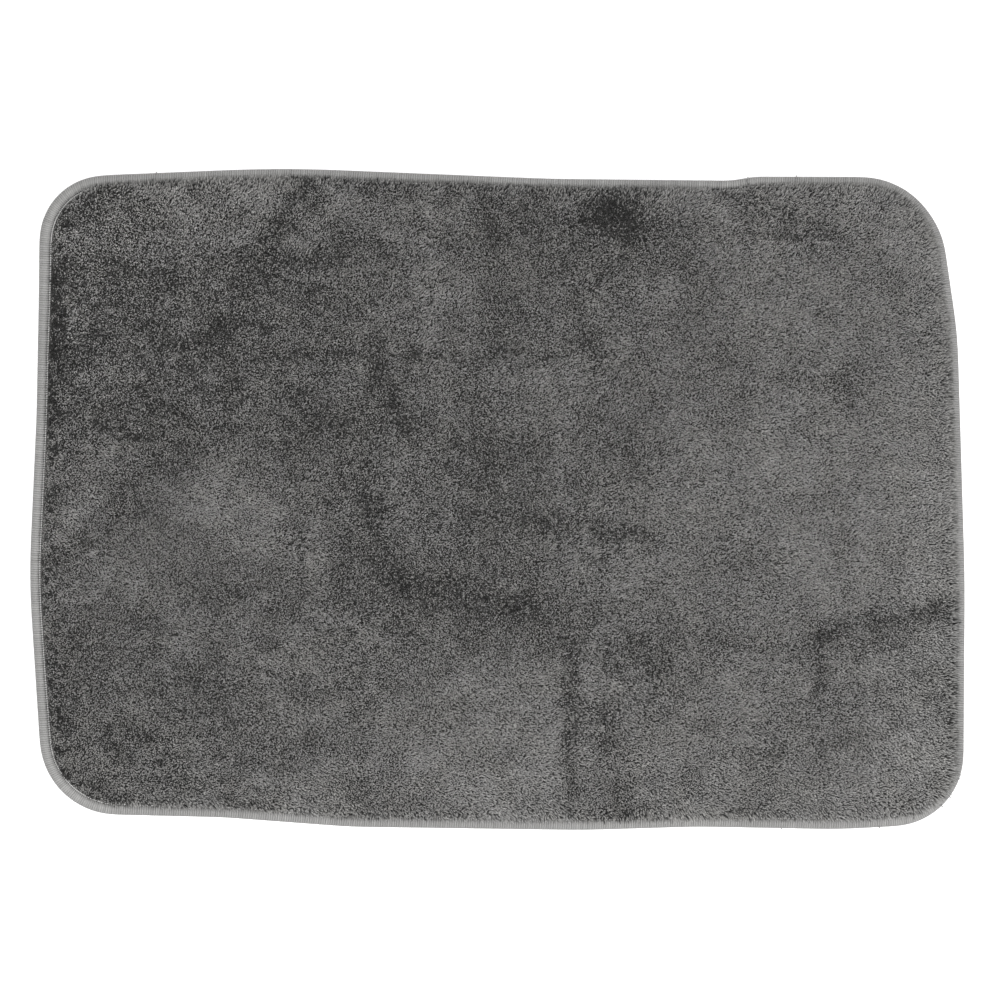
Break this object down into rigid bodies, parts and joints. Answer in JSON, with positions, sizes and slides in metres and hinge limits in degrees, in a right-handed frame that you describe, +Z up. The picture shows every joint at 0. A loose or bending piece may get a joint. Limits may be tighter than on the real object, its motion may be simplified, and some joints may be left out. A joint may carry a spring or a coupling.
{
  "type": "bath mat",
  "caption": "Rectangular plush bath mat with rounded corners, a dense grey cut pile, an overlocked yarn edge and a dotted anti-slip underside.",
  "frame": {"origin": "on the floor, under the middle of the mat's length and width", "axes": "+X along the mat's length, +Y across its width towards the edge where the seam ends overlap, +Z up, out of the pile"},
  "size_m": [0.6994, 0.4948, 0.0143],
  "materials": {
    "pile_fibre": "soft brushed cut pile",
    "ground_cloth": "matt knit",
    "foam": "matt open-cell foam",
    "backing": "matt woven cloth",
    "grip_rubber": "matt soft rubber",
    "edge_yarn": "bulky textured yarn",
    "sewing_thread": "smooth spun thread"
  },
  "bodies": {
    "root": {"pile": "pile_fibre", "ground_fabric": "ground_cloth", "foam_core": "foam", "backing_cloth": "backing", "grip_dots": "grip_rubber", "upper_looper_yarn": "edge_yarn", "lower_looper_yarn": "edge_yarn", "needle_thread": "sewing_thread"}
  },
  "joints": []
}
